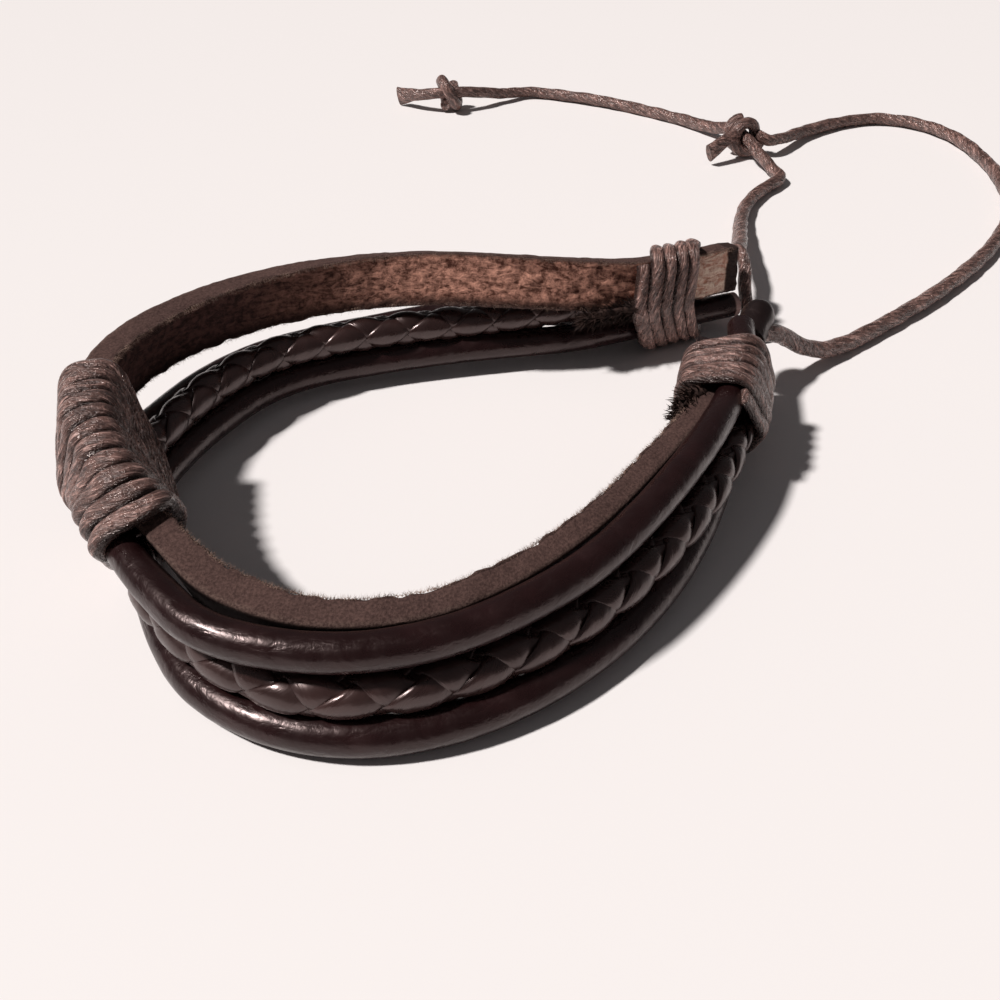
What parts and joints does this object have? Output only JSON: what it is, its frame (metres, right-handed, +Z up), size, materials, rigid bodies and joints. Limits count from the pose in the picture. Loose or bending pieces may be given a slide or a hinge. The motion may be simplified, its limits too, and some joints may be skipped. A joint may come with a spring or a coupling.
{
  "type": "braided leather wrist wrap with waxed cord ties",
  "caption": "Open loop of flat, round and braided leather strands bound side by side with waxed cord, with knotted cord ties laid out on the surface.",
  "frame": {"origin": "middle of the loop's footprint, at the height of the surface it lies on, without the ties", "axes": "+Z up out of the surface, along the way the wrist goes in; +Y away from the camera, towards the side the ties run to; +X towards the open end with the stubs"},
  "size_m": [0.1188, 0.1569, 0.0153],
  "materials": {
    "strap_leather": "suede cut edges and a rough flesh side",
    "cord_leather": "semi-gloss grain",
    "braid_leather": "semi-gloss grain",
    "waxed_cord": "waxed twist"
  },
  "bodies": {
    "root": {"flat_strap": "strap_leather", "round_cord_upper": "cord_leather", "braided_cord": "braid_leather", "round_cord_lower": "cord_leather", "middle_wrap": "waxed_cord", "far_wrap": "waxed_cord", "near_wrap": "waxed_cord", "far_wrap_tail": "waxed_cord", "near_wrap_tail": "waxed_cord", "tie_long": "waxed_cord", "tie_short": "waxed_cord", "sliding_knot": "waxed_cord", "stopper_knot": "waxed_cord"}
  },
  "joints": []
}
